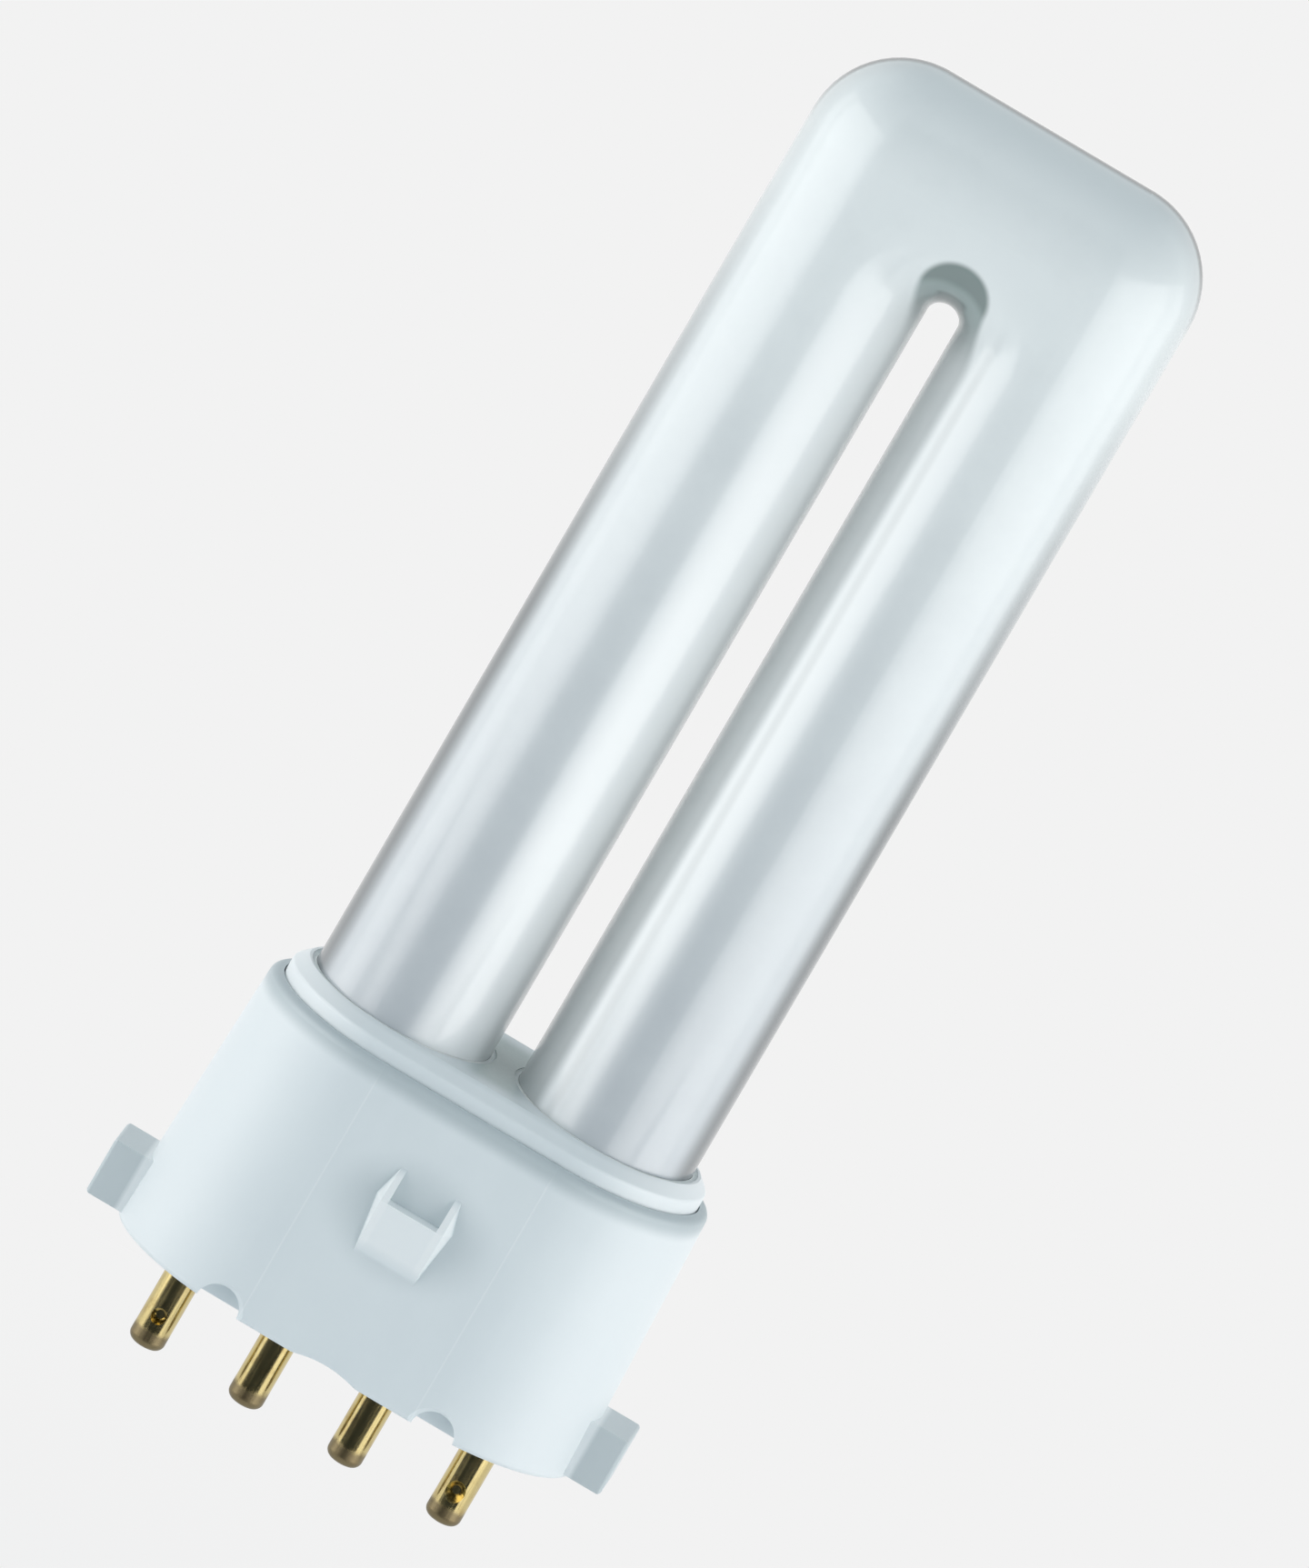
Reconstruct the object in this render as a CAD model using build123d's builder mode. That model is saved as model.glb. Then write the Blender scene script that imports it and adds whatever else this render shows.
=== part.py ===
from build123d import *
import os
from math import atan2, cos, degrees, radians, sin

# Twin-tube compact fluorescent lamp with four contact pins in a line. Sizes are in millimetres.
# The origin is the middle of the cap's bottom face, +Z points to the tip of the tubes, +X runs
# along the row of pins, and -Y is the front.

# Glass discharge tube
tube_radius = 6.07
tube_wall = 0.9
slot_width = 2.12
tip_height = 87.5
bridge_web = 0.1
leg_round_bottom = 13.2
seal_top = 9.8
seal_bottom = 6.6
seal_width = 11.4
seal_thickness = 2.6
seal_corner = 1.1
seal_slit_width = 9.2
seal_slit_thickness = 0.8
seal_slit_corner = 0.35
seal_slit_bottom = 10.5
stub_radius = 1.2
stub_length = 2.2

# Moulded cap housing
shoulder_height = 18.4
panel_half_width = 6.1
ledge_x = 0.83
ledge_y = 0.75
draft_x = 0.72
draft_y = 0.55
cap_wall = 1.3
floor_thickness = 2.0
shoulder_round = 0.6
rim_round = 0.3

# Tube holder, the collar that closes the top of the cap
collar_rim_x = 0.95
collar_rim_y = 1.28
collar_rise = 1.65
collar_bevel = 0.75
collar_flat = 0.2
collar_round = 0.3
holder_thickness = 3.7
holder_clearance = 0.1

# Cement rings between the glass and the holder
cement_gap = 0.35
cement_setback = 0.85
film_gap = 0.02

# Contact pins
pin_pitch = 7.0
pin_count = 4
pin_radius = 1.17
pin_shoulder = 0.23
pin_bore_radius = 0.85
pin_length = 6.7
pin_tip_round = 0.55
pin_end_thickness = 0.8
flange_step = 0.35
flange_thickness = 0.5
pin_neck = 1.1
pin_hole_clearance = 0.03
crimp_drop = 4.4
crimp_mouth_radii = (0.55, 0.65, 0.65, 0.75)
crimp_sides = (-1, 1, 1, -1)
crimp_floor_radius = 0.28
crimp_skin = 0.25

# Lead wires from the glass seals to the pins
lead_radius = 0.25
lead_spread = 2.2
lead_drop = 0.7
lead_bend = 0.6
lead_end_gap = 0.3

# Latch in the middle of each broad side
latch_bottom = 7.45
latch_step = 11.4
latch_top = 13.5
latch_rise = 1.4
latch_end_half_width = 2.1
latch_step_half_width = 2.65
latch_side_taper = 18
latch_pocket_half_width = 1.72
latch_root = 0.4

# Ear on each end
ear_reach = 2.15
ear_half_depth = 2.5
ear_bottom = 0.4
ear_top = 4.2
ear_root = 1.0
ear_round = 0.25

# Notches and arches in the bottom edge
notch_x = 7.6
notch_radius = 1.42
notch_depth = 2.3
notch_bevel = 0.35
arch_half_width = 2.35
arch_height = 0.42
cut_margin = 1.0

# Sizes that follow from the ones above
leg_x = tube_radius + slot_width / 2
bridge_height = tip_height - tube_radius
bend_height = bridge_height - bridge_web - leg_x
hole_radius = tube_radius + cement_gap
collar_top = shoulder_height + collar_rise
holder_bottom = collar_top - holder_thickness
collar_x = leg_x + hole_radius + collar_rim_x
collar_y = hole_radius + collar_rim_y
shoulder_x = collar_x + ledge_x
shoulder_y = collar_y + ledge_y
base_x = shoulder_x + draft_x
base_y = shoulder_y + draft_y
pin_shank_radius = pin_radius + pin_shoulder
flange_radius = pin_shank_radius + flange_step
pin_top = floor_thickness + flange_thickness + pin_neck
pin_places = [(i - (pin_count - 1) / 2) * pin_pitch for i in range(pin_count)]

os.makedirs("parts", exist_ok=True)


def wall_x(height):
    # Half width of the cap's outer wall at a height above its bottom face.
    return base_x - draft_x * height / shoulder_height


def wall_y(height):
    # Half depth of the cap's outer wall at a height above its bottom face.
    return base_y - draft_y * height / shoulder_height


def oval_face(half_width, half_depth):
    # Plan of the cap, drawn in the open sketch: a flat panel front and back, closed at each end
    # by half an ellipse.
    end_radius = half_width - panel_half_width
    with BuildLine() as outline:
        Line((-panel_half_width, -half_depth), (panel_half_width, -half_depth))
        EllipticalCenterArc((panel_half_width, 0), end_radius, half_depth, start_angle=-90, arc_size=180)
        Line((panel_half_width, half_depth), (-panel_half_width, half_depth))
        EllipticalCenterArc((-panel_half_width, 0), end_radius, half_depth, start_angle=90, arc_size=180)
    make_face(outline.edges())


def half_disc(radius, centre, cut_centre):
    # Half of a disc in the open sketch: a square on one side takes the other half away.
    with Locations(centre):
        Circle(radius)
    with Locations(cut_centre):
        Rectangle(2 * radius, 2 * radius, mode=Mode.SUBTRACT)


def bent_tube(radius, end_width, end_thickness, end_corner, end_height):
    # The space that a ball of this radius fills when it runs up one leg, over the flat web of the
    # bridge and down the other leg. Below the round stretch each leg narrows to a flat end.
    with BuildPart() as tube:
        with BuildSketch(Plane.XZ.offset(-radius)):
            with Locations((0, (bend_height + bridge_height) / 2)):
                Rectangle(2 * leg_x, bridge_height - bend_height)
            with Locations((0, bend_height)):
                Circle(leg_x, mode=Mode.SUBTRACT)
        extrude(amount=2 * radius)
        with BuildSketch(Plane.XY.offset(bend_height)):
            half_disc(radius, (leg_x, 0), (leg_x + radius, 0))
        revolve(axis=Axis((0, 0, bend_height), (0, -1, 0)), revolution_arc=180)
        with BuildSketch(Plane.YZ.offset(-leg_x)):
            half_disc(radius, (0, bridge_height), (0, bridge_height - radius))
        extrude(amount=2 * leg_x)
        for side in (-1, 1):
            with BuildSketch(Plane.XY.offset(bend_height)):
                half_disc(radius, (side * leg_x, 0), (side * (leg_x - radius), 0))
            extrude(amount=bridge_height - bend_height)
            with Locations((side * leg_x, 0, bridge_height)):
                Sphere(radius)
            with BuildSketch(Plane.XY.offset(leg_round_bottom)):
                with Locations((side * leg_x, 0)):
                    Circle(radius)
            extrude(amount=bend_height - leg_round_bottom)
            with BuildSketch(Plane.XY.offset(end_height)):
                with Locations((side * leg_x, 0)):
                    RectangleRounded(end_width, end_thickness, end_corner)
            with BuildSketch(Plane.XY.offset(leg_round_bottom)):
                with Locations((side * leg_x, 0)):
                    Circle(radius)
            loft()
    return tube.part


# Glass discharge tube: one sealed hollow body, pressed flat and shut at the bottom of each leg.
# The left seal keeps the stub of the pipe that the tube was pumped out through.
glass_outside = bent_tube(tube_radius, seal_width, seal_thickness, seal_corner, seal_top)
glass_inside = bent_tube(
    tube_radius - tube_wall, seal_slit_width, seal_slit_thickness, seal_slit_corner, seal_slit_bottom
)
with BuildPart() as glass_tube:
    add(glass_outside)
    with BuildSketch(Plane.XY.offset(seal_bottom)):
        with Locations((-leg_x, 0), (leg_x, 0)):
            RectangleRounded(seal_width, seal_thickness, seal_corner)
    extrude(amount=seal_top - seal_bottom)
    add(glass_inside, mode=Mode.SUBTRACT)
    with BuildSketch(Plane.XY.offset(seal_bottom + stub_radius)):
        with Locations((-leg_x, 0)):
            Circle(stub_radius)
    extrude(amount=-stub_length)
    with Locations((-leg_x, 0, seal_bottom + stub_radius - stub_length)):
        Sphere(stub_radius)
glass_tube.part.label = "glass_tube"
export_step(glass_tube.part, "parts/glass_tube.step")


# Latch on the broad side: a ramp that ends in a step, between two triangular cheeks. It is drawn
# on the drafted front wall, and its root is sunk into the wall.
wall_tilt = degrees(atan2(draft_y, shoulder_height))
wall_out = (0, -cos(radians(wall_tilt)), sin(radians(wall_tilt)))
wall_plane = Plane(origin=(0, -base_y, 0), x_dir=(1, 0, 0), z_dir=wall_out)
side_plane = Plane(origin=(0, -base_y, 0), x_dir=wall_out, z_dir=(-1, 0, 0))
latch_outline = [
    (latch_end_half_width, latch_bottom),
    (latch_step_half_width, latch_step),
    (latch_end_half_width, latch_top),
    (-latch_end_half_width, latch_top),
    (-latch_step_half_width, latch_step),
    (-latch_end_half_width, latch_bottom),
]
with BuildPart() as latch:
    with BuildSketch(wall_plane):
        with BuildLine():
            Polyline(*latch_outline, close=True)
        make_face()
    extrude(amount=latch_rise, taper=latch_side_taper)
    with BuildSketch(side_plane):
        with BuildLine():
            Polyline((0, latch_bottom), (latch_rise, latch_step), (0, latch_top), close=True)
        make_face()
    extrude(amount=latch_step_half_width, both=True, mode=Mode.INTERSECT)
    with BuildSketch(wall_plane):
        with Locations((0, latch_step)):
            Rectangle(
                2 * latch_pocket_half_width,
                latch_top - latch_step + cut_margin,
                align=(Align.CENTER, Align.MIN),
            )
    extrude(amount=latch_rise, mode=Mode.SUBTRACT)
    with BuildSketch(wall_plane):
        with BuildLine():
            Polyline(*latch_outline, close=True)
        make_face()
    extrude(amount=-latch_root)


# Ear on the end of the cap: a small block whose outer edges are rounded.
with BuildPart() as ear:
    with BuildSketch(Plane.YZ.offset(base_x - ear_root)):
        with Locations((0, (ear_bottom + ear_top) / 2)):
            Rectangle(2 * ear_half_depth, ear_top - ear_bottom)
    extrude(amount=ear_root + ear_reach)
    fillet(ear.edges().group_by(Axis.X)[-1], radius=ear_round)


# Cap housing: a drafted oval cup. The holder drops into a recess in its mouth and rests on a ledge.
with BuildPart() as base_housing:
    with BuildSketch(Plane.XY):
        oval_face(base_x, base_y)
    with BuildSketch(Plane.XY.offset(shoulder_height)):
        oval_face(shoulder_x, shoulder_y)
    loft(ruled=True)
    fillet(base_housing.edges().group_by(Axis.Z)[-1], radius=shoulder_round)
    fillet(base_housing.edges().group_by(Axis.Z)[0], radius=rim_round)
    add(latch.part)
    add(mirror(latch.part, about=Plane.XZ))
    add(ear.part)
    add(mirror(ear.part, about=Plane.YZ))
    with BuildSketch(Plane.XY.offset(floor_thickness)):
        oval_face(wall_x(floor_thickness) - cap_wall, wall_y(floor_thickness) - cap_wall)
    with BuildSketch(Plane.XY.offset(holder_bottom)):
        oval_face(wall_x(holder_bottom) - cap_wall, wall_y(holder_bottom) - cap_wall)
    loft(ruled=True, mode=Mode.SUBTRACT)
    with BuildSketch(Plane.XY.offset(holder_bottom)):
        oval_face(collar_x + holder_clearance, collar_y + holder_clearance)
    extrude(amount=shoulder_height - holder_bottom + cut_margin, mode=Mode.SUBTRACT)
    with BuildSketch(Plane.XY):
        with Locations(*[(x, 0) for x in pin_places]):
            Circle(pin_shank_radius + pin_hole_clearance)
    extrude(amount=floor_thickness, mode=Mode.SUBTRACT)
    arch_radius = (arch_half_width**2 + arch_height**2) / (2 * arch_height)
    for side in (-1, 1):
        outside = Plane(origin=(0, side * (base_y + cut_margin), 0), x_dir=(1, 0, 0), z_dir=(0, side, 0))
        with BuildSketch(outside):
            with Locations((-notch_x, 0), (notch_x, 0)):
                Circle(notch_radius)
            with Locations((0, side * -1 * (arch_height - arch_radius))):
                Circle(arch_radius)
        extrude(amount=-(notch_depth + cut_margin), mode=Mode.SUBTRACT)
        with BuildSketch(outside.offset(-cut_margin)):
            with Locations((-notch_x, 0), (notch_x, 0)):
                Circle(notch_radius + notch_bevel)
        extrude(amount=-notch_bevel, taper=45, mode=Mode.SUBTRACT)
base_housing.part.label = "base_housing"
export_step(base_housing.part, "parts/base_housing.step")


# Tube holder: a plug with a hole for each leg, whose top stands out of the cap as a bevelled collar.
with BuildPart() as tube_holder:
    with BuildSketch(Plane.XY.offset(holder_bottom)):
        oval_face(collar_x, collar_y)
    extrude(amount=holder_thickness - collar_bevel)
    with BuildSketch(Plane.XY.offset(collar_top - collar_bevel)):
        oval_face(collar_x, collar_y)
    with BuildSketch(Plane.XY.offset(collar_top)):
        oval_face(leg_x + hole_radius + collar_flat, hole_radius + collar_flat)
    loft(ruled=True)
    bevel_bottom = collar_top - collar_bevel
    fillet(tube_holder.edges().filter_by_position(Axis.Z, bevel_bottom, bevel_bottom), radius=collar_round)
    with BuildSketch(Plane.XY.offset(holder_bottom)):
        with Locations((-leg_x, 0), (leg_x, 0)):
            Circle(hole_radius)
    extrude(amount=holder_thickness, mode=Mode.SUBTRACT)
tube_holder.part.label = "tube_holder"
export_step(tube_holder.part, "parts/tube_holder.step")


# Cement rings: they fill the gap round each leg and stop short of the collar's top.
def cement_ring(x, label):
    with BuildPart() as ring:
        with BuildSketch(Plane.XY.offset(holder_bottom)):
            with Locations((x, 0)):
                Circle(hole_radius - film_gap)
                Circle(tube_radius + film_gap, mode=Mode.SUBTRACT)
        extrude(amount=holder_thickness - cement_setback)
    ring.part.label = label
    export_step(ring.part, f"parts/{label}.step")


for ring_name, ring_side in (("left", -1), ("right", 1)):
    cement_ring(ring_side * leg_x, f"cement_ring_{ring_name}")


# Contact pins: hollow, closed at the rounded tip, held in the floor by a flange and crimped onto
# the lead wire by a cone-shaped dimple.
def contact_pin(x, mouth_radius, crimp_side, label):
    tip = -pin_length
    crimp_plane = Plane(
        origin=(x, crimp_side * pin_radius, -crimp_drop), x_dir=(1, 0, 0), z_dir=(0, -crimp_side, 0)
    )
    dimple_end = pin_radius - lead_radius - film_gap
    with BuildPart() as hollow:
        with BuildSketch(Plane.XY.offset(tip + pin_end_thickness)):
            with Locations((x, 0)):
                Circle(pin_bore_radius)
        extrude(amount=pin_top - tip - pin_end_thickness)
        with BuildSketch(crimp_plane):
            Circle(mouth_radius + crimp_skin)
        with BuildSketch(crimp_plane.offset(dimple_end)):
            Circle(crimp_floor_radius + crimp_skin)
        loft(mode=Mode.SUBTRACT)
    with BuildPart() as pin:
        with BuildSketch(Plane(origin=(x, 0, 0), x_dir=(1, 0, 0), z_dir=(0, -1, 0))):
            with BuildLine():
                Polyline((0, tip), (pin_radius - pin_tip_round, tip))
                RadiusArc(
                    (pin_radius - pin_tip_round, tip), (pin_radius, tip + pin_tip_round), -pin_tip_round
                )
                Polyline(
                    (pin_radius, tip + pin_tip_round),
                    (pin_radius, 0),
                    (pin_shank_radius, 0),
                    (pin_shank_radius, floor_thickness),
                    (flange_radius, floor_thickness),
                    (flange_radius, floor_thickness + flange_thickness),
                    (pin_shank_radius, floor_thickness + flange_thickness),
                    (pin_shank_radius, pin_top),
                    (0, pin_top),
                    (0, tip),
                )
            make_face()
        revolve(axis=Axis((x, 0, 0), (0, 0, 1)))
        add(hollow.part, mode=Mode.SUBTRACT)
        with BuildSketch(crimp_plane):
            Circle(mouth_radius)
        with BuildSketch(crimp_plane.offset(dimple_end - crimp_skin)):
            Circle(crimp_floor_radius)
        loft(mode=Mode.SUBTRACT)
    pin.part.label = label
    export_step(pin.part, f"parts/{label}.step")


# Lead wires: each comes out of a seal, steps across to its pin and runs down inside it.
def lead_wire(x, label):
    leg_side = 1 if x > 0 else -1
    wire_side = 1 if abs(x) > leg_x else -1
    start_x = leg_side * (leg_x + wire_side * lead_spread)
    with BuildPart() as wire:
        with BuildLine(Plane.XZ) as route:
            FilletPolyline(
                (start_x, seal_bottom),
                (start_x, seal_bottom - lead_drop),
                (x, pin_top + lead_drop),
                (x, -pin_length + pin_end_thickness + lead_end_gap),
                radius=lead_bend,
            )
        with BuildSketch(Plane(origin=route.line @ 0, z_dir=route.line % 0)):
            Circle(lead_radius)
        sweep()
    wire.part.label = label
    export_step(wire.part, f"parts/{label}.step")


for i in range(pin_count):
    contact_pin(pin_places[i], crimp_mouth_radii[i], crimp_sides[i], f"contact_pin_{i + 1}")
    lead_wire(pin_places[i], f"lead_wire_{i + 1}")
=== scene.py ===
from math import cos, radians, sin, tan

import bpy
import numpy as np
from mathutils import Matrix, Vector


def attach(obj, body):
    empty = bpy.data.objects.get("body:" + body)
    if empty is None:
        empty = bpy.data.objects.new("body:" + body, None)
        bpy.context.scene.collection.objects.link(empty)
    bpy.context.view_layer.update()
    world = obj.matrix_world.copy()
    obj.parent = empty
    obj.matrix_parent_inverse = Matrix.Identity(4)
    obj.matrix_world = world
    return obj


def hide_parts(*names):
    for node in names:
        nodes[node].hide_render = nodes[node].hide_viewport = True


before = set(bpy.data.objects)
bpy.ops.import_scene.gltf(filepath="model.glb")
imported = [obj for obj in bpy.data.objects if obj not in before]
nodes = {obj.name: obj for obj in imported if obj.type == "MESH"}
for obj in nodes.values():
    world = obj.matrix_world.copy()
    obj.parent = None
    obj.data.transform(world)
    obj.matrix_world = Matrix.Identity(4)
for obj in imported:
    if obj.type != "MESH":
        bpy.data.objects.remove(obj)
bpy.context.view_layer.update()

mm = 0.001
sides = {"left": -1, "right": 1}
print("frame loaded:", len(nodes), "nodes")


# small helpers for node trees; a noise is given as its scale, detail and roughness, and a bump
# as its strength and its distance in mm

noiseSpan = (0.3, 0.7)        # nearly all of a noise's values lie in here
noiseMiddle = 0.5


def nodeAdder(tree):
    # empties a node tree and gives the function that adds a node to it: each input takes a value
    # or another node's output
    tree.nodes.clear()

    def add(kind, inputs=None, **settings):
        made = tree.nodes.new(kind)
        for key, value in settings.items():
            setattr(made, key, value)
        for key, value in (inputs or {}).items():
            if isinstance(value, bpy.types.NodeSocket):
                tree.links.new(value, made.inputs[key])
            else:
                made.inputs[key].default_value = value
        return made

    return add


def newMaterial(name):
    material = bpy.data.materials.new(name)
    material.use_nodes = True
    return material, nodeAdder(material.node_tree)


def finishMaterial(material, add, surface):
    add("ShaderNodeOutputMaterial", {"Surface": surface})
    return material


def colour(rgb):
    return (*rgb, 1.0)


def mixColour(add, factor, first, second):
    # either colour is an (r, g, b) or another node's output; 0, 6 and 7 are a Mix node's inputs
    # for its factor and its two colours
    first, second = (
        value if isinstance(value, bpy.types.NodeSocket) else colour(value) for value in (first, second)
    )
    return add("ShaderNodeMix", {0: factor, 6: first, 7: second}, data_type="RGBA").outputs[2]


def calc(add, operation, first, second=0.0, third=0.0):
    return add("ShaderNodeMath", {0: first, 1: second, 2: third}, operation=operation).outputs[0]


def times(add, first, second):
    return calc(add, "MULTIPLY", first, second)


def hypotenuse(add, first, second):
    corner = add("ShaderNodeCombineXYZ", {"X": first, "Y": second}).outputs[0]
    return add("ShaderNodeVectorMath", {0: corner}, operation="LENGTH").outputs["Value"]


def remap(add, value, fromLow, fromHigh, toLow, toHigh, smooth=False):
    ends = {"From Min": fromLow, "From Max": fromHigh, "To Min": toLow, "To Max": toHigh}
    made = add(
        "ShaderNodeMapRange",
        {"Value": value, **ends},
        interpolation_type="SMOOTHSTEP" if smooth else "LINEAR",
    )
    return made.outputs["Result"]


def ramp(add, length, span, first=0, last=1, smooth=False):
    # a remap of a length over a span that is given in mm
    start, end = span
    return remap(add, length, start * mm, end * mm, first, last, smooth)


def fade(add, length, span, first=0, last=1):
    # a ramp with soft ends
    return ramp(add, length, span, first, last, smooth=True)


def objectPlace(add):
    return add("ShaderNodeTexCoord").outputs["Object"]


def splitAxes(add, place):
    return add("ShaderNodeSeparateXYZ", {0: place}).outputs


def noise(add, vector, scale, detail=2.0, roughness=0.5):
    settings = {"Scale": scale, "Detail": detail, "Roughness": roughness}
    return add("ShaderNodeTexNoise", {"Vector": vector, **settings}).outputs[0]


def stretched(add, vector, scale):
    # object coordinates stretched by a different number along each axis
    return add("ShaderNodeMapping", {"Vector": vector, "Scale": scale}).outputs[0]


def bump(add, height, strength, distance):
    inputs = {"Height": height, "Strength": strength, "Distance": distance * mm}
    return add("ShaderNodeBump", inputs).outputs[0]


def paint(nodeName, material):
    target = nodes[nodeName]
    target.data.materials.clear()
    target.data.materials.append(material)


# camera at the photograph's angle

camera = {
    "distance": 2.4,              # metres
    "azimuth": 1.4,               # degrees round to the right of the front
    "elevation": 14.2,            # degrees above the lamp's side
    "roll": 30.3,                 # degrees, the tip leans to the upper right
    "aim": (-1.04, 9.11, 37.71),  # mm, the middle of the picture
    "pictureHeight": 95.6,        # mm across the frame's long side at the lamp
    "sensor": 36,
    "clip": (0.01, 20),
}


def placeCamera():
    azimuth, elevation, roll = (radians(camera[key]) for key in ("azimuth", "elevation", "roll"))
    across = Vector((cos(azimuth), sin(azimuth), 0))
    backward = Vector((sin(azimuth) * cos(elevation), -cos(azimuth) * cos(elevation), sin(elevation)))
    upward = backward.cross(across)
    pictureRight = cos(roll) * across + sin(roll) * upward
    pictureUp = -sin(roll) * across + cos(roll) * upward
    data = bpy.data.cameras.new("camera")
    data.sensor_width = camera["sensor"]
    data.lens = camera["sensor"] * camera["distance"] / (camera["pictureHeight"] * mm)
    data.clip_start, data.clip_end = camera["clip"]
    made = bpy.data.objects.new("camera", data)
    bpy.context.collection.objects.link(made)
    turn = Matrix((pictureRight, pictureUp, backward)).transposed().to_4x4()
    stand = Vector(camera["aim"]) * mm + backward * camera["distance"]
    made.matrix_world = Matrix.Translation(stand) @ turn
    return made


bpy.context.scene.camera = placeCamera()
print("camera placed")


# lamps, world, floor and the dark card in front

studio = {
    "background": (0.888, 0.888, 0.888),    # what the camera sees behind the lamp
    "ambientLow": (0.338, 0.406, 0.447),    # the world's light, level with the floor
    "ambientHigh": (0.357, 0.425, 0.462),   # and from straight above
    "floorHeight": -80,                     # mm
    "floorReach": 6000,
    "floorColour": (0.86, 0.87, 0.88),
    "floorSpeck": (0.8, 0.81, 0.82),
    "floorSpeckShare": 0.02,
    "floorNoise": (900, 3),
    "floorFade": (40, 300),                 # mm from the middle, where it fades to the background
    "floorFadeShare": (0.7, 1.0),
    "panelDistance": 260,                   # mm from the lamp
    "panelSpan": {"left": (35, 110), "right": (26, 115)},   # degrees round from the front
    "panelLevel": {"left": 1.26, "right": 1.17},            # how bright each one's face is
    "panelMiddle": 72,                      # mm up
    "panelHeight": 274,
    "panelColour": (1.0, 0.975, 0.95),
    "sheenDistance": 250,                   # a second pair that only gloss mirrors
    "sheenSpan": {"left": (26, 90), "right": (16, 88)},
    "sheenLevel": {"left": 1.28, "right": 1.34},
    "fillSpan": (130, 170),                 # two lamps behind that light the back
    "fillLevel": 0.9,
    "cardPlace": 120,                       # mm in front of the lamp
    "cardSpan": (28, 18),                   # degrees from the front to its left and right edge
    "cardFootSpan": (72, 54),               # wider at the foot, where the pins mirror it
    "cardFootTop": -21,
    "cardTop": 250,
    "cardColour": (0.04, 0.045, 0.05),
    "cardSpeck": (0.055, 0.06, 0.065),
    "cardNoise": (60, 2),
}


def seenShare(add):
    # 1 for the rays that show the plain background: the camera's, and those that gloss or glass
    # passes on
    rays = add("ShaderNodeLightPath").outputs
    seen = calc(add, "MAXIMUM", rays["Is Camera Ray"], rays["Is Glossy Ray"])
    return calc(add, "MAXIMUM", seen, rays["Is Transmission Ray"])


def softWorld():
    world = bpy.data.worlds.new("world")
    world.use_nodes = True
    add = nodeAdder(world.node_tree)
    direction = add("ShaderNodeTexCoord").outputs["Generated"]
    upward = remap(add, splitAxes(add, direction)["Z"], 0, 1, 0, 1, smooth=True)
    tone = mixColour(add, upward, studio["ambientLow"], studio["ambientHigh"])
    ambient = add("ShaderNodeBackground", {"Color": tone}).outputs[0]
    plain = add("ShaderNodeBackground", {"Color": colour(studio["background"])}).outputs[0]
    chosen = add("ShaderNodeMixShader", {0: seenShare(add), 1: ambient, 2: plain}).outputs[0]
    add("ShaderNodeOutputWorld", {"Surface": chosen})
    return world


def floorMaterial():
    # pale paper: its own colour fades into the background's away from the lamp, and it keeps
    # the lamp's shadow
    material, add = newMaterial("floor_paper")
    place = objectPlace(add)
    specks = noise(add, place, *studio["floorNoise"])
    specks = remap(add, specks, *noiseSpan, 0, studio["floorSpeckShare"])
    paper = mixColour(add, specks, studio["floorColour"], studio["floorSpeck"])
    lit = add("ShaderNodeBsdfDiffuse", {"Color": paper}).outputs[0]
    plain = {"Color": colour(studio["background"]), "Strength": 1.0}
    shine = add("ShaderNodeEmission", plain).outputs[0]
    reach = add("ShaderNodeVectorMath", {0: place}, operation="LENGTH").outputs["Value"]
    away = fade(add, reach, studio["floorFade"], *studio["floorFadeShare"])
    share = times(add, seenShare(add), away)
    mixed = add("ShaderNodeMixShader", {0: share, 1: lit, 2: shine}).outputs[0]
    return finishMaterial(material, add, mixed)


def cardMaterial():
    material, add = newMaterial("dark_card")
    specks = noise(add, objectPlace(add), *studio["cardNoise"])
    tone = mixColour(add, specks, studio["cardColour"], studio["cardSpeck"])
    surface = add("ShaderNodeBsdfDiffuse", {"Color": tone}).outputs[0]
    return finishMaterial(material, add, surface)


def flatSheet(name, corners, material):
    mesh = bpy.data.meshes.new(name)
    mesh.from_pydata([[c * mm for c in corner] for corner in corners], [], [(0, 1, 2, 3)])
    sheet = bpy.data.objects.new(name, mesh)
    bpy.context.collection.objects.link(sheet)
    mesh.materials.append(material)
    return sheet


def darkCard(name, span, bottom, top, material):
    # an upright card before the lamp, there for gloss alone
    out = studio["cardPlace"]
    left, right = -out * tan(radians(span[0])), out * tan(radians(span[1]))
    corners = [(left, -out, bottom), (right, -out, bottom), (right, -out, top), (left, -out, top)]
    card = flatSheet(name, corners, material)
    card.visible_camera = False
    card.visible_diffuse = False
    card.visible_shadow = False


def softPanel(name, side, span, level, distance):
    # an upright lamp beside the object that fills the angles of its span, as the object sees it
    start, end = (radians(angle) for angle in span)
    lamp = bpy.data.lights.new(name, "AREA")
    lamp.shape = "RECTANGLE"
    lamp.size = 2 * distance * mm * tan((end - start) / 2)
    lamp.size_y = studio["panelHeight"] * mm
    lamp.energy = level * np.pi * lamp.size * lamp.size_y   # so a larger lamp is as bright
    lamp.color = studio["panelColour"]
    panel = bpy.data.objects.new(name, lamp)
    bpy.context.collection.objects.link(panel)
    middle = side * (start + end) / 2
    upright = Vector((0, 0, 1))
    outward = Vector((sin(middle), -cos(middle), 0))
    facing = Matrix((upright.cross(outward), upright, outward)).transposed().to_4x4()
    stand = (outward * distance + upright * studio["panelMiddle"]) * mm
    panel.matrix_world = Matrix.Translation(stand) @ facing
    panel.visible_camera = False
    return panel


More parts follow.
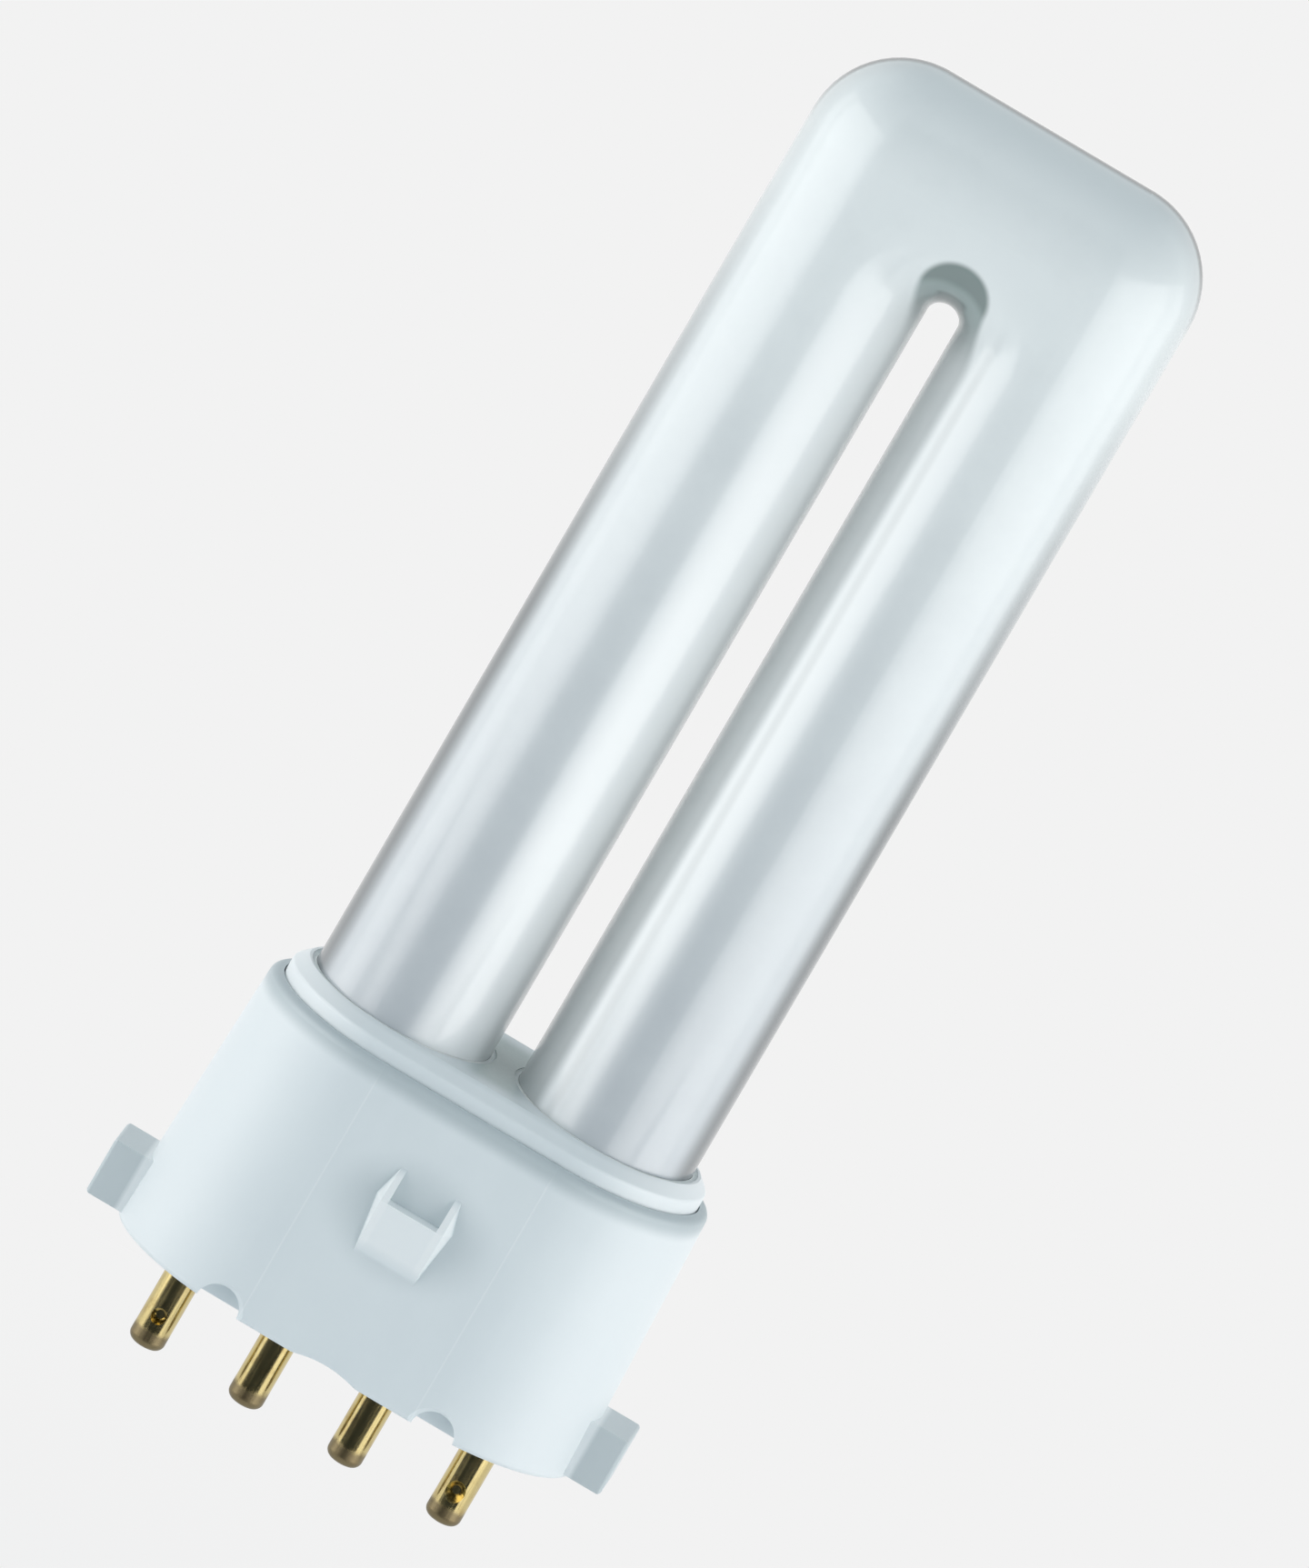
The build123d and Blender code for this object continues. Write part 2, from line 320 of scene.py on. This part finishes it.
bpy.context.scene.world = softWorld()
reach, ground = studio["floorReach"], studio["floorHeight"]
floorCorners = [(-reach, -reach, ground), (reach, -reach, ground),
                (reach, reach, ground), (-reach, reach, ground)]
flatSheet("floor", floorCorners, floorMaterial())
cardPaper = cardMaterial()
footTop = studio["cardFootTop"]
darkCard("dark_card", studio["cardSpan"], footTop, studio["cardTop"], cardPaper)
darkCard("dark_card_foot", studio["cardFootSpan"], ground, footTop, cardPaper)
for sideName, side in sides.items():
    panelSpan, panelLevel = studio["panelSpan"][sideName], studio["panelLevel"][sideName]
    softPanel(f"{sideName}_panel", side, panelSpan, panelLevel, studio["panelDistance"])
    sheenSpan, sheenLevel = studio["sheenSpan"][sideName], studio["sheenLevel"][sideName]
    sheen = softPanel(f"{sideName}_sheen", side, sheenSpan, sheenLevel, studio["sheenDistance"])
    sheen.visible_diffuse = False
    fillSpan, fillLevel = studio["fillSpan"], studio["fillLevel"]
    fill = softPanel(f"{sideName}_fill", side, fillSpan, fillLevel, studio["panelDistance"])
    fill.visible_glossy = False
bpy.context.scene.view_settings.view_transform = "Standard"
print("studio lit")


# moulded plastic of the cap and the tube holder; spans are in mm, from the middle or up

plastic = {
    "colour": (0.79, 0.843, 0.862),
    "cloudTone": (0.765, 0.818, 0.842),
    "cloudNoise": (110, 3),
    "cloudValues": (0.35, 0.7),
    "flowTone": (0.86, 0.91, 0.93),       # paler flow marks from the mould
    "flowStretch": (260, 260, 60),
    "flowDetail": 3,
    "flowValues": (0.45, 0.75),
    "flowShare": 0.25,
    "seamX": 6.1,                         # mm, where the flat panel meets the round ends
    "seamSpan": (0, 0.09),
    # a paler colour painted along it: painted highlight
    "seamHighlightTone": (0.93, 0.96, 0.97),
    "seamShare": 0.35,
    "seamRise": 1.5,                      # how much of the bump it is, against the grain
    "broadSideSpan": (8.0, 8.3),          # only the broad walls show the seam
    # the colour of all painted shade on the plastic
    "paintedShadeTone": (0.43, 0.50, 0.525),
    "earSpan": (15.95, 16.25),            # where the painted shade on the ears begins
    "earShade": 0.6,
    "wallFoot": 9.0,                      # mm, half depth of the cap's wall at its foot
    "wallDraft": 0.55,                    # and how much less it is at the shoulder
    "shoulder": 18.4,
    "latchHeight": 10.6,                  # mm, middle of the painted shadow round the latch
    "latchReach": (6.2, 4.6),
    "latchFade": (0.45, 1.0),             # parts of that reach
    "latchShade": 0.36,
    "wallProud": (0.04, 0.12),            # mm proud of the wall, where the painted shadow ends
    "latchProud": (0.1, 0.4),             # and the painted highlight on the latch begins
    "paintedLightTone": (0.94, 0.965, 0.97),    # painted light on the latch and on the round ends
    "latchLightShare": 0.75,
    "cheekSpan": (1.6, 1.75),             # the cheeks beyond it get the painted highlight all over
    "capEndSpan": (8.5, 14),              # painted light on the round ends of the cap
    "capEndShare": 0.55,
    "ledgeSpan": (16.8, 17.9),            # painted shade on the top of the cap's wall
    "ledgeShade": 0.72,
    "ledgeEndSpan": (18.05, 18.3),        # and how much more of it at the two round ends
    "ledgeEndSides": (12, 15),
    "ledgeEndShade": 0.15,
    "collarTopSpan": (19.8, 20.0),        # painted shade on the holder's flat top
    "collarTopShade": 0.22,
    "collarEndSpan": (7, 12.5),           # painted light on its round ends, paler than its middle
    "collarEndShare": 0.8,
    "webShadeTone": (0.33, 0.42, 0.40),        # painted shade on its top between the two legs
    "webShade": 0.7,
    "webSideSpan": (0.8, 2.4),
    "webDepthSpan": (4.2, 6.6),
    "grainNoise": (3800, 3, 0.6),
    "waveNoise": (420, 2),
    "waveRise": 2.0,                      # against the grain
    "bump": (0.35, 0.012),
    "roughness": (0.35, 0.50),
    "ior": 1.5,
}


def latchTones(add, axes, side, depth, tone):
    # painted shadow on the wall round the latch, and a painted highlight on the latch itself: they
    # are told apart by how far a point stands proud of the sloping wall
    reachX, reachZ = plastic["latchReach"]
    patchX = calc(add, "DIVIDE", axes["X"], reachX * mm)
    patchZ = calc(add, "SUBTRACT", axes["Z"], plastic["latchHeight"] * mm)
    patchZ = calc(add, "DIVIDE", patchZ, reachZ * mm)
    patch = hypotenuse(add, patchX, patchZ)
    patch = remap(add, patch, *plastic["latchFade"], plastic["latchShade"], 0, smooth=True)
    draft = plastic["wallDraft"] / plastic["shoulder"]
    wall = calc(add, "MULTIPLY_ADD", axes["Z"], draft, -plastic["wallFoot"] * mm)
    proud = calc(add, "ADD", depth, wall)
    patch = times(add, patch, ramp(add, proud, plastic["wallProud"], 1, 0))
    tone = mixColour(add, patch, tone, plastic["paintedShadeTone"])
    # painted highlight on the latch, full on its cheeks
    cheeks = ramp(add, side, plastic["cheekSpan"], plastic["latchLightShare"], 1)
    latchLight = ramp(add, proud, plastic["latchProud"], 0, cheeks)
    return mixColour(add, latchLight, tone, plastic["paintedLightTone"])


def ledgeTones(add, axes, side, tone):
    # painted shade on the top of the cap's wall, a little more at its round ends
    ledge = fade(add, axes["Z"], plastic["ledgeSpan"])
    upper = ramp(add, axes["Z"], plastic["ledgeEndSpan"], 0, plastic["ledgeEndShade"])
    atEnds = times(add, ramp(add, side, plastic["ledgeEndSides"]), upper)
    ledge = calc(add, "MULTIPLY_ADD", ledge, plastic["ledgeShade"], atEnds)
    return mixColour(add, ledge, tone, plastic["paintedShadeTone"])


def collarTones(add, axes, side, depth, tone):
    # painted shade on the holder's flat top
    flat = ramp(add, axes["Z"], plastic["collarTopSpan"], 0, plastic["collarTopShade"])
    tone = mixColour(add, flat, tone, plastic["paintedShadeTone"])
    # painted light on the holder's round ends
    ends = fade(add, side, plastic["collarEndSpan"], 0, plastic["collarEndShare"])
    tone = mixColour(add, ends, tone, plastic["paintedLightTone"])
    # painted shade between the two legs
    web = fade(add, side, plastic["webSideSpan"], 1, 0)
    web = times(add, web, fade(add, depth, plastic["webDepthSpan"], 1, 0))
    return mixColour(add, times(add, web, plastic["webShade"]), tone, plastic["webShadeTone"])


def plasticMaterial(name, isCap):
    material, add = newMaterial(name)
    place = objectPlace(add)
    axes = splitAxes(add, place)
    side, depth = (calc(add, "ABSOLUTE", axes[name]) for name in "XY")   # how far out a point is
    cloud = remap(add, noise(add, place, *plastic["cloudNoise"]), *plastic["cloudValues"], 0, 1)
    tone = mixColour(add, cloud, plastic["colour"], plastic["cloudTone"])
    flow = noise(add, stretched(add, place, plastic["flowStretch"]), 1, plastic["flowDetail"])
    flow = remap(add, flow, *plastic["flowValues"], 0, plastic["flowShare"])
    tone = mixColour(add, flow, tone, plastic["flowTone"])
    # the witness line: a small real ridge in the bump, and a painted highlight along it in the colour
    offSeam = calc(add, "ABSOLUTE", calc(add, "SUBTRACT", side, plastic["seamX"] * mm))
    seam = fade(add, offSeam, plastic["seamSpan"], 1, 0)
    seam = times(add, seam, ramp(add, depth, plastic["broadSideSpan"]))
    tone = mixColour(add, times(add, seam, plastic["seamShare"]), tone, plastic["seamHighlightTone"])
    if isCap:
        # painted light on the cap's round ends
        ends = fade(add, side, plastic["capEndSpan"], 0, plastic["capEndShare"])
        tone = mixColour(add, ends, tone, plastic["paintedLightTone"])
    # painted shade on the ears
    ear = ramp(add, side, plastic["earSpan"], 0, plastic["earShade"])
    tone = mixColour(add, ear, tone, plastic["paintedShadeTone"])
    tone = latchTones(add, axes, side, depth, tone)
    if isCap:
        tone = ledgeTones(add, axes, side, tone)
    else:
        tone = collarTones(add, axes, side, depth, tone)
    grain = noise(add, place, *plastic["grainNoise"])
    waves = noise(add, place, *plastic["waveNoise"])
    rough = remap(add, grain, *noiseSpan, *plastic["roughness"])
    height = calc(add, "MULTIPLY_ADD", waves, plastic["waveRise"], grain)
    height = calc(add, "MULTIPLY_ADD", seam, plastic["seamRise"], height)
    surface = add(
        "ShaderNodeBsdfPrincipled",
        {
            "Base Color": tone,
            "Roughness": rough,
            "Normal": bump(add, height, *plastic["bump"]),
            "IOR": plastic["ior"],
        },
    ).outputs[0]
    return finishMaterial(material, add, surface)


paint("base_housing", plasticMaterial("cap_plastic", isCap=True))
paint("tube_holder", plasticMaterial("holder_plastic", isCap=False))
print("plastic painted")


# coated glass; heights and spans are in mm

glass = {
    "tipCoating": (0.94, 0.97, 0.965),
    "shadedBaseCoating": (0.47, 0.51, 0.55),      # darker near the cap: painted shade
    "coatingHeights": (8, 78),
    "mottle": 0.045,
    "mottleNoise": (240, 4, 0.6),
    "slotLightTone": (0.97, 0.985, 0.98),       # painted light on the coating beside the slot
    "slotLightShare": 0.88,
    "slotLightSpan": (6.6, 4.2),                # from the middle of the slot
    "slotLightHeights": (14, 34),
    "slotLightFoot": 0.5,                       # its strength below those heights
    "slotShadeTone": (0.22, 0.25, 0.25),         # painted shade on the glass beside the slot
    "slotShare": (0.24, 0.42),              # on the left and right leg
    "slotHeights": (22, 46),
    "slotFoot": 1.35,                       # how much stronger it is below those heights
    "slotFade": ((1.2, 1.95), (2.6, 3.35)),  # from the slot's middle, on the left and right leg
    "archFade": (2.0, 2.5),                 # and round the arch
    "archHeights": (72.5, 77),              # from the slot's straight sides to the arch
    "archMiddle": 76.8,                     # middle of the painted shade over the slot's end
    "archShare": 0.95,
    # colour of the painted shade round the arch
    "archShadeTone": (0.22, 0.275, 0.265),
    "bendMiddle": 74.2,                     # middle of the slot's round end
    "ringTone": (0.38, 0.45, 0.44),         # a paler ring round it in that painted shade
    "ringShare": 0.9,
    "ringInside": (1.8, 2.3),
    "ringOutside": (2.9, 3.6),
    "crescentShadeTone": (0.11, 0.14, 0.135),    # painted shade, darkest inside the bend right at the end
    "crescentShare": 0.7,
    "crescentSpan": (2.3, 2.65),
    "crescentSides": (0.8, 1.25),
    "streakX": 3.8,                         # mm, a faint grey line painted down the right leg: painted reflection
    "streakSpan": (0.05, 0.45),
    "streakHeights": (77, 73),
    "streakShare": 0.16,
    "rimShadeTone": (0.035, 0.045, 0.05),       # painted shade where the clear glass is seen on edge
    "edgeFacing": (0.37, 0.68),             # how far round the tube it begins and is full, 0 to 1
    "edgeHeights": (46, 77),
    "edgeShare": (0.8, 0.12),               # its strength at those heights
    "edgeSides": (7, 10),
    "slotSideShare": 0.05,                  # and its part beside the slot
    "topFacing": (0.66, 0.84),              # along the top of the bridge it is much thinner
    "topHeights": (80, 85),
    "topShare": 0.85,
    "powderNoise": (5200, 3, 0.6),
    "powderBump": (0.25, 0.01),
    "drawnStretch": (520, 520, 14),         # faint waves from drawing the tube
    "drawnDetail": 3,
    "drawnBump": (0.08, 0.02),
    "polish": 0.12,                         # roughness of the clear glass itself
    "polishLevel": 0.35,
    "glow": 0.4,                            # roughness of the soft gloss over the coating
    "glowIor": 2.0,
    "glowWeight": (1.0, 0.16),              # near the cap and at the tip
}


def offSlotLine(add, axes, height):
    # how far a point is from the middle line of the slot, drawn up to a height in mm
    over = calc(add, "MAXIMUM", calc(add, "SUBTRACT", axes["Z"], height * mm), 0.0)
    return hypotenuse(add, axes["X"], over)


def coatingTone(add, axes, climb, arch, offSlot):
    # the coating's colour, darkened towards the cap by painted shade
    tone = mixColour(add, climb, glass["shadedBaseCoating"], glass["tipCoating"])
    # painted light on the coating beside the slot, kept off the arch
    slotLight = fade(add, offSlot, glass["slotLightSpan"], 0, glass["slotLightShare"])
    slotLight = times(add, slotLight, remap(add, arch, 0, 1, 1, 0))
    slotLight = times(add, slotLight, ramp(add, axes["Z"], glass["slotLightHeights"], glass["slotLightFoot"], 1))
    return mixColour(add, slotLight, tone, glass["slotLightTone"])


def slotShadeShare(add, axes, arch, offSlot):
    # how much painted shade lies beside the slot, with a width for each leg, and round the arch
    onRight = calc(add, "GREATER_THAN", axes["X"], 0.0)
    ends = []
    for onLeftLeg, onRightLeg, atArch in zip(*glass["slotFade"], glass["archFade"]):
        beside = remap(add, onRight, 0, 1, onLeftLeg * mm, onRightLeg * mm)
        ends.append(remap(add, arch, 0, 1, beside, atArch * mm))
    slotShade = remap(add, offSlot, *ends, 1, 0, smooth=True)
    share = remap(add, onRight, 0, 1, *glass["slotShare"])
    share = times(add, share, ramp(add, axes["Z"], glass["slotHeights"], glass["slotFoot"], 1))
    return times(add, slotShade, remap(add, arch, 0, 1, share, glass["archShare"]))


def slotShadeColour(add, axes, side, arch):
    # the painted shade's colour: plain beside the slot, and round the arch a paler ring and a dark
    # crescent
    offBend = offSlotLine(add, axes, glass["bendMiddle"])
    ringMask = fade(add, offBend, glass["ringInside"], 0, glass["ringShare"])
    ringMask = times(add, ringMask, fade(add, offBend, glass["ringOutside"], 1, 0))
    tone = mixColour(add, ringMask, glass["archShadeTone"], glass["ringTone"])
    crescent = fade(add, offBend, glass["crescentSpan"], glass["crescentShare"], 0)
    crescent = times(add, crescent, fade(add, side, glass["crescentSides"], 1, 0))
    tone = mixColour(add, crescent, tone, glass["crescentShadeTone"])
    return mixColour(add, arch, glass["slotShadeTone"], tone)


def rimShare(add, axes, side):
    # painted shade: the dark rim where the clear glass is seen on edge, along the legs' outer sides,
    # and thin on top of the bridge
    facing = add("ShaderNodeLayerWeight", {"Blend": 0.5}).outputs["Facing"]
    rim = remap(add, facing, *glass["edgeFacing"], 0, 1, smooth=True)
    share = ramp(add, axes["Z"], glass["edgeHeights"], *glass["edgeShare"])
    share = times(add, share, ramp(add, side, glass["edgeSides"], glass["slotSideShare"], 1))
    topRim = remap(add, facing, *glass["topFacing"], 0, 1, smooth=True)
    topRim = times(add, topRim, ramp(add, axes["Z"], glass["topHeights"], 0, glass["topShare"]))
    return calc(add, "MAXIMUM", times(add, rim, share), topRim)


def glassMaterial():
    material, add = newMaterial("coated_glass")
    place = objectPlace(add)
    axes = splitAxes(add, place)
    side = calc(add, "ABSOLUTE", axes["X"])
    mottle = noise(add, place, *glass["mottleNoise"])
    mottle = remap(add, mottle, *noiseSpan, -glass["mottle"], glass["mottle"])
    climb = calc(add, "ADD", ramp(add, axes["Z"], glass["coatingHeights"]), mottle)
    offSlot = offSlotLine(add, axes, glass["archMiddle"])
    arch = fade(add, axes["Z"], glass["archHeights"])
    tone = coatingTone(add, axes, climb, arch, offSlot)
    # painted shade beside the slot and round the arch
    slotShade = slotShadeShare(add, axes, arch, offSlot)
    tone = mixColour(add, slotShade, tone, slotShadeColour(add, axes, side, arch))
    # painted reflection: a faint grey line down the right leg
    streak = calc(add, "ABSOLUTE", calc(add, "SUBTRACT", axes["X"], glass["streakX"] * mm))
    streak = fade(add, streak, glass["streakSpan"], glass["streakShare"], 0)
    streak = times(add, streak, ramp(add, axes["Z"], glass["streakHeights"]))
    tone = mixColour(add, streak, tone, glass["slotShadeTone"])
    # painted shade along the rim
    tone = mixColour(add, rimShare(add, axes, side), tone, glass["rimShadeTone"])
    powder = noise(add, place, *glass["powderNoise"])
    drawn = noise(add, stretched(add, place, glass["drawnStretch"]), 1, glass["drawnDetail"])
    surface = add(
        "ShaderNodeBsdfPrincipled",
        {
            "Base Color": tone,
            "Roughness": glass["polish"],
            "Normal": bump(add, drawn, *glass["drawnBump"]),
            "Specular IOR Level": glass["polishLevel"],
            "Coat Weight": remap(add, climb, 0, 1, *glass["glowWeight"]),
            "Coat Roughness": glass["glow"],
            "Coat IOR": glass["glowIor"],
            "Coat Normal": bump(add, powder, *glass["powderBump"]),
        },
    ).outputs[0]
    return finishMaterial(material, add, surface)


paint("glass_tube", glassMaterial())
print("glass painted")


# brass pins

brass = {
    "colour": (0.62, 0.515, 0.245),
    "tarnish": (0.38, 0.26, 0.10),
    "spotNoise": (900, 4, 0.6),
    "tarnishValues": (0.5, 0.75),
    "tarnishShare": 0.6,
    "lineStretch": (5200, 5200, 160),
    "lineDetail": 2,
    "lineBump": (0.12, 0.01),
    "roughness": (0.10, 0.22),
    "endShadeTone": (0.15, 0.12, 0.075),   # painted shade on the rounded end, darker brown; it is rougher too
    "endHeights": (-5.75, -5.25),     # mm
    "endRagged": 0.6,                 # mm, how far the spots move that border
    "endShare": 0.85,
    "endRoughness": 0.22,
    "pins": 4,
}


def brassMaterial():
    material, add = newMaterial("pin_brass")
    place = objectPlace(add)
    axes = splitAxes(add, place)
    spots = noise(add, place, *brass["spotNoise"])
    lines = noise(add, stretched(add, place, brass["lineStretch"]), 1, brass["lineDetail"])
    stain = remap(add, spots, *brass["tarnishValues"], 0, brass["tarnishShare"])
    tone = mixColour(add, stain, brass["colour"], brass["tarnish"])
    # painted shade on the rounded end, with a ragged border; the end is rougher too
    shifted = calc(add, "SUBTRACT", spots, noiseMiddle)
    shifted = calc(add, "MULTIPLY_ADD", shifted, brass["endRagged"] * mm, axes["Z"])
    end = fade(add, shifted, brass["endHeights"], 1, 0)
    tone = mixColour(add, times(add, end, brass["endShare"]), tone, brass["endShadeTone"])
    rough = remap(add, lines, *noiseSpan, *brass["roughness"])
    rough = calc(add, "MULTIPLY_ADD", end, brass["endRoughness"], rough)
    surface = add(
        "ShaderNodeBsdfPrincipled",
        {
            "Base Color": tone,
            "Metallic": 1.0,
            "Roughness": rough,
            "Normal": bump(add, lines, *brass["lineBump"]),
        },
    ).outputs[0]
    return finishMaterial(material, add, surface)


pinBrass = brassMaterial()
for pin in range(1, brass["pins"] + 1):
    paint(f"contact_pin_{pin}", pinBrass)
print("pins painted")


# cement between each leg and the holder

ring = {
    "legX": 7.13,                     # mm, also the next four
    "inner": 6.09,
    "outer": 6.41,
    "bottom": 16.4,
    "top": 20.0,
    "dip": 0.08,                      # mm the wet cement drew down between glass and plastic
    "ripple": 0.04,
    "slowWaves": 5,                   # waves of the ripple in one round
    "fastWaves": 11,
    "fastShare": 0.6,
    "fastSeed": 2.3,
    "edgeFade": 0.5,                  # lower keeps the ripple nearer to the two edges
    "seed": 1.7,
    "stepsAround": 192,
    "stepsAcross": 9,
    "colour": (0.80, 0.84, 0.83),
    "patchTone": (0.90, 0.92, 0.91),
    "patchNoise": (500, 3),
    "patchValues": (0.35, 0.7),
    "grainTone": (0.62, 0.67, 0.66),
    "grainNoise": (2600, 5, 0.65),
    "grainValues": (0.45, 0.7),
    "grainShare": 0.3,
    "bump": (0.6, 0.05),
    "roughness": 0.85,
}


def cementMaterial():
    material, add = newMaterial("cement")
    place = objectPlace(add)
    grains = noise(add, place, *ring["grainNoise"])
    patches = remap(add, noise(add, place, *ring["patchNoise"]), *ring["patchValues"], 0, 1)
    tone = mixColour(add, patches, ring["colour"], ring["patchTone"])
    specks = remap(add, grains, *ring["grainValues"], 0, ring["grainShare"])
    tone = mixColour(add, specks, tone, ring["grainTone"])
    surface = add(
        "ShaderNodeBsdfPrincipled",
        {
            "Base Color": tone,
            "Roughness": ring["roughness"],
            "Normal": bump(add, grains, *ring["bump"]),
        },
    ).outputs[0]
    return finishMaterial(material, add, surface)


def cementRing(name, middleX, seed):
    # a closed profile (radius, height) turned about the leg: straight sides, and a top that dips as
    # sin(pi t) from glass to plastic and ripples slowly round the ring
    t = np.linspace(0, 1, ring["stepsAcross"])
    radius = ring["inner"] + (ring["outer"] - ring["inner"]) * t
    around = np.linspace(0, 2 * np.pi, ring["stepsAround"], endpoint=False)[:, None]
    slow = np.sin(ring["slowWaves"] * around + seed)
    fast = np.sin(ring["fastWaves"] * around + ring["fastSeed"] * seed)
    ripple = ring["ripple"] * (slow + ring["fastShare"] * fast) / (1 + ring["fastShare"])
    sag = np.sin(np.pi * t)
    height = ring["top"] - ring["dip"] * sag + ripple * sag ** ring["edgeFade"]
    radius = np.concatenate([radius, radius[::-1]])
    height = np.concatenate([height, np.full(height.shape, ring["bottom"])], axis=1)
    x = middleX + radius * np.cos(around)
    y = radius * np.sin(around)
    points = np.stack([x, y, height], axis=-1).reshape(-1, 3) * mm
    rows, columns = height.shape
    row, column = np.meshgrid(np.arange(rows), np.arange(columns), indexing="ij")
    nextRow, nextColumn = (row + 1) % rows, (column + 1) % columns
    corners = np.stack([row * columns + column, row * columns + nextColumn,
                        nextRow * columns + nextColumn, nextRow * columns + column], axis=-1)
    mesh = bpy.data.meshes.new(name)
    mesh.from_pydata(points, [], corners.reshape(-1, 4).tolist())
    mesh.polygons.foreach_set("use_smooth", np.ones(len(mesh.polygons), dtype=bool))
    piece = bpy.data.objects.new(name, mesh)
    bpy.context.collection.objects.link(piece)
    return piece


cementPaste = cementMaterial()
for sideName, side in sides.items():
    filler = cementRing(f"cement_{sideName}", side * ring["legX"], ring["seed"] + side)
    filler.data.materials.append(cementPaste)
    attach(filler, "root")
    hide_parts(f"cement_ring_{sideName}")
print("cement filled in")


# lead wires inside the cap

wire = {
    "colour": (0.5, 0.49, 0.47),
    "paleTone": (0.68, 0.67, 0.64),
    "lineStretch": (6000, 6000, 300),
    "lineDetail": 3,
    "lineBump": (0.2, 0.01),
    "roughness": (0.22, 0.38),
}


def nickelMaterial():
    material, add = newMaterial("lead_nickel")
    place = objectPlace(add)
    lines = noise(add, stretched(add, place, wire["lineStretch"]), 1, wire["lineDetail"])
    surface = add(
        "ShaderNodeBsdfPrincipled",
        {
            "Base Color": mixColour(add, lines, wire["colour"], wire["paleTone"]),
            "Metallic": 1.0,
            "Roughness": remap(add, lines, *noiseSpan, *wire["roughness"]),
            "Normal": bump(add, lines, *wire["lineBump"]),
        },
    ).outputs[0]
    return finishMaterial(material, add, surface)


leadNickel = nickelMaterial()
for pin in range(1, brass["pins"] + 1):
    paint(f"lead_wire_{pin}", leadNickel)
print("wires painted")
